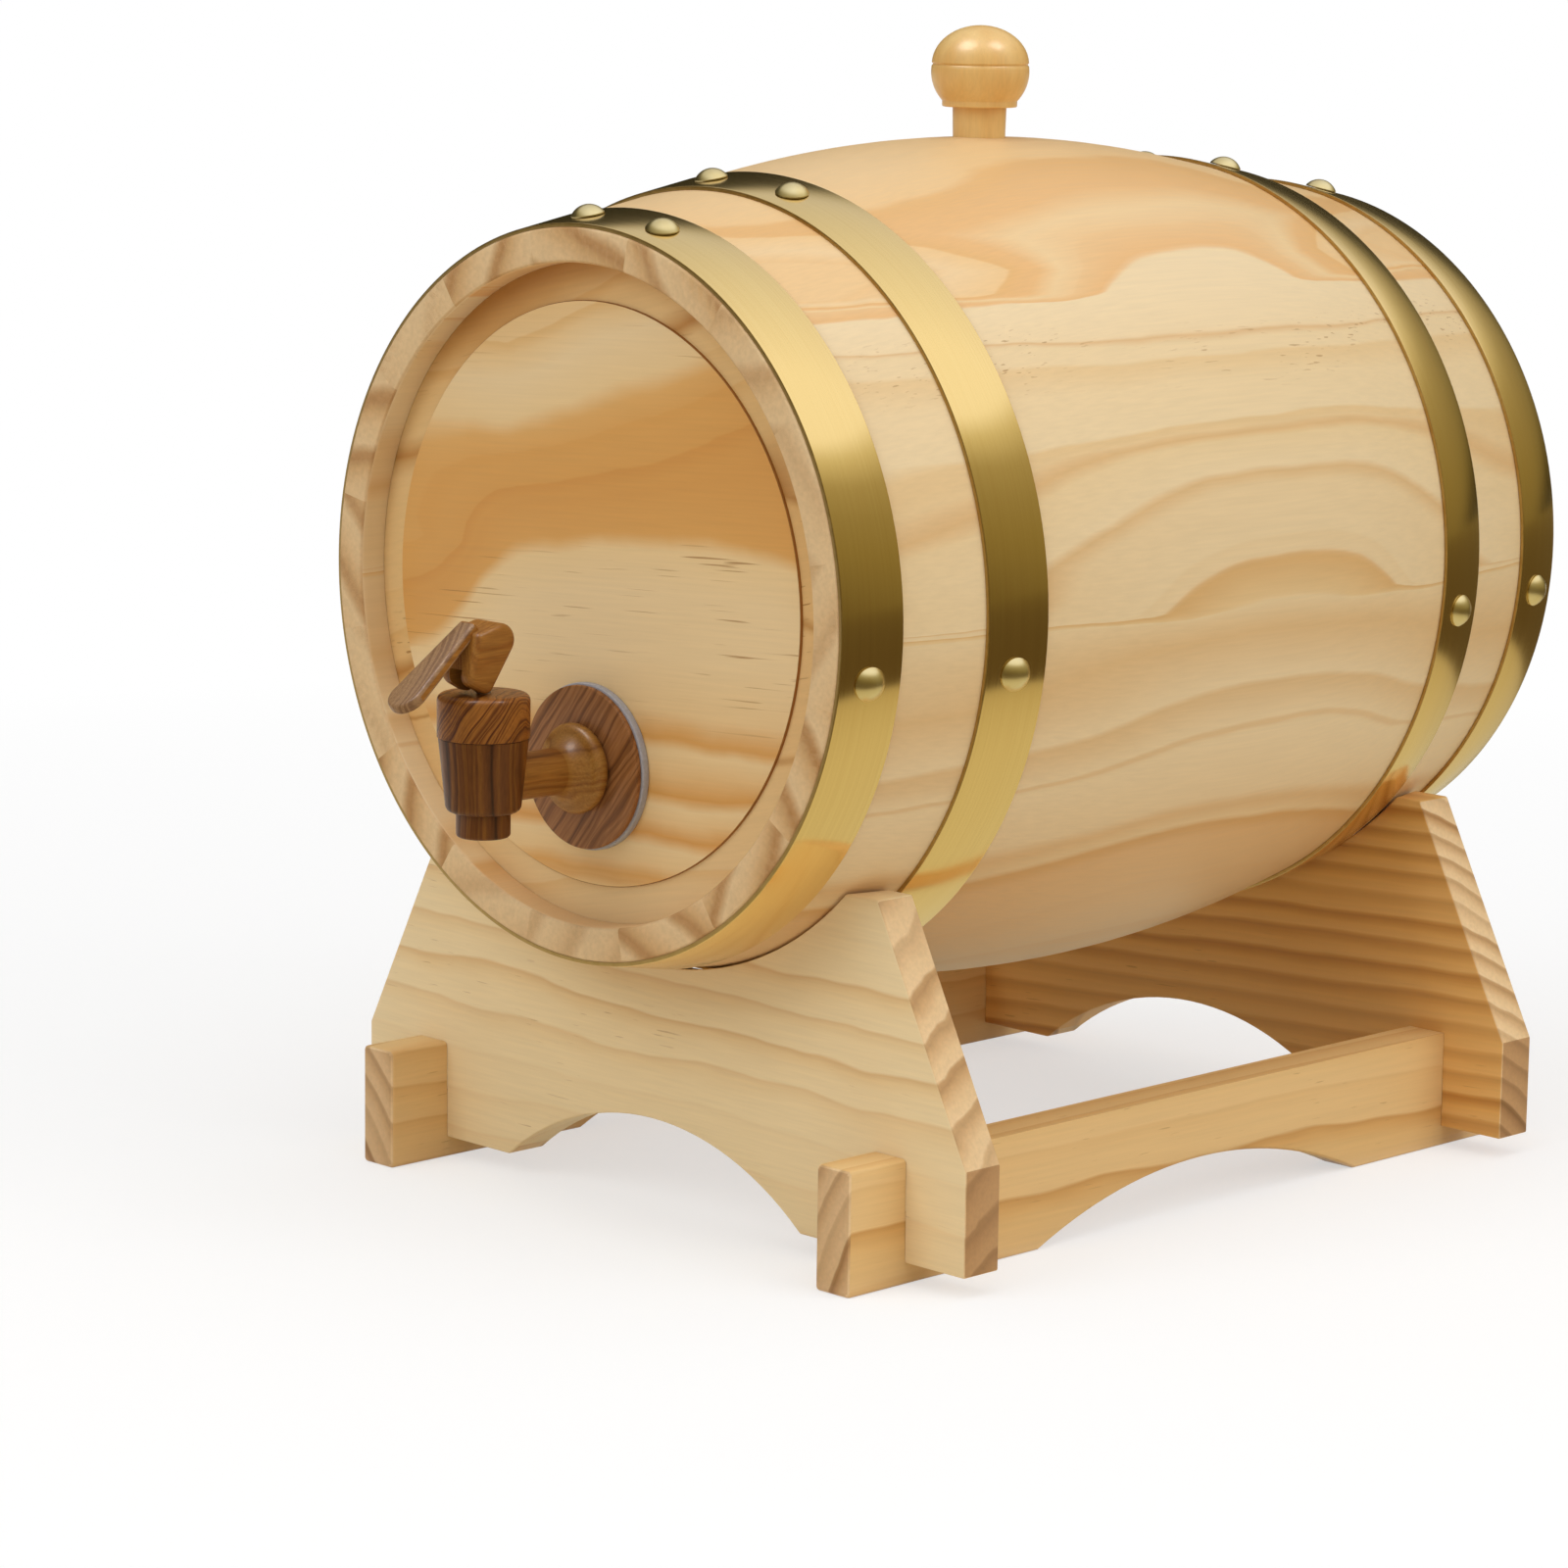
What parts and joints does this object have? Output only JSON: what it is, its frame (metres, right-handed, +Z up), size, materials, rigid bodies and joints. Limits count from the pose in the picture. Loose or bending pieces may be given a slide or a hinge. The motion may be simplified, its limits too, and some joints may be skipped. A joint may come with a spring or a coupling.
{
  "type": "wooden barrel dispenser",
  "caption": "Hooped pine barrel lying on a lapped cradle stand, with a lever tap in its front head and a turned bung on top, for storing and pouring drinks.",
  "frame": {"origin": "on the floor plane, under the middle of the bounding box", "axes": "+Z up, the barrel lies along Y with its tap facing -Y, so +X is to the right for someone who faces the tap"},
  "size_m": [0.183, 0.2768, 0.2483],
  "materials": {
    "stave_pine": "satin lacquer",
    "head_pine": "satin lacquer",
    "stand_pine": "satin lacquer",
    "hoop_brass": "brushed round the hoop",
    "rivet_brass": "polished",
    "bung_beech": "satin lacquer",
    "tap_rosewood": "satin lacquer",
    "lever_rosewood": "satin lacquer",
    "silicone": "matt",
    "pin_steel": "satin"
  },
  "bodies": {
    "stand": {"front_cradle": "stand_pine", "rear_cradle": "stand_pine", "left_rail": "stand_pine", "right_rail": "stand_pine"},
    "barrel": {"bung_stave": "stave_pine", "stave_1": "stave_pine", "stave_2": "stave_pine", "stave_3": "stave_pine", "stave_4": "stave_pine", "stave_5": "stave_pine", "stave_6": "stave_pine", "stave_7": "stave_pine", "stave_8": "stave_pine", "stave_9": "stave_pine", "stave_10": "stave_pine", "stave_11": "stave_pine", "stave_12": "stave_pine", "stave_13": "stave_pine", "stave_14": "stave_pine", "stave_15": "stave_pine", "front_head": "head_pine", "rear_head": "head_pine", "front_end_hoop": "hoop_brass", "front_quarter_hoop": "hoop_brass", "rear_quarter_hoop": "hoop_brass", "rear_end_hoop": "hoop_brass", "front_end_rivets": "rivet_brass", "front_quarter_rivets": "rivet_brass", "rear_quarter_rivets": "rivet_brass", "rear_end_rivets": "rivet_brass", "tap_body": "tap_rosewood", "tap_bonnet": "tap_rosewood", "tap_flange": "tap_rosewood", "front_washer": "silicone", "inner_washer": "silicone", "backing_nut": "tap_rosewood"},
    "bung": {"bung": "bung_beech"},
    "valve_stem": {"valve_stem": "pin_steel", "seat_cup": "silicone"},
    "lever": {"tap_lever": "lever_rosewood", "lever_pin": "pin_steel"}
  },
  "joints": [
    {"name": "barrel_lift", "type": "slide", "parent": "stand", "child": "barrel", "axis": [0, 0, 1], "range_m": [0, 0.1]},
    {"name": "bung_pull", "type": "slide", "parent": "barrel", "child": "bung", "axis": [0, 0, 1], "range_m": [0, 0.03]},
    {"name": "stem_lift", "type": "slide", "parent": "barrel", "child": "valve_stem", "axis": [0, 0, 1], "range_m": [-0.0039, 0], "stiffness_N_per_m": 150, "springref_m": -0.008, "deforming": ["seat_cup"]},
    {"name": "lever_tilt", "type": "hinge", "parent": "valve_stem", "child": "lever", "pos_m": [0, -0.11445, 0.12363], "axis": [-1, 0, 0], "range_deg": [0, 55.1]}
  ],
  "couplings": [
    {"joint": "lever_tilt", "follows": "stem_lift", "rad_per_m": -246.14}
  ]
}
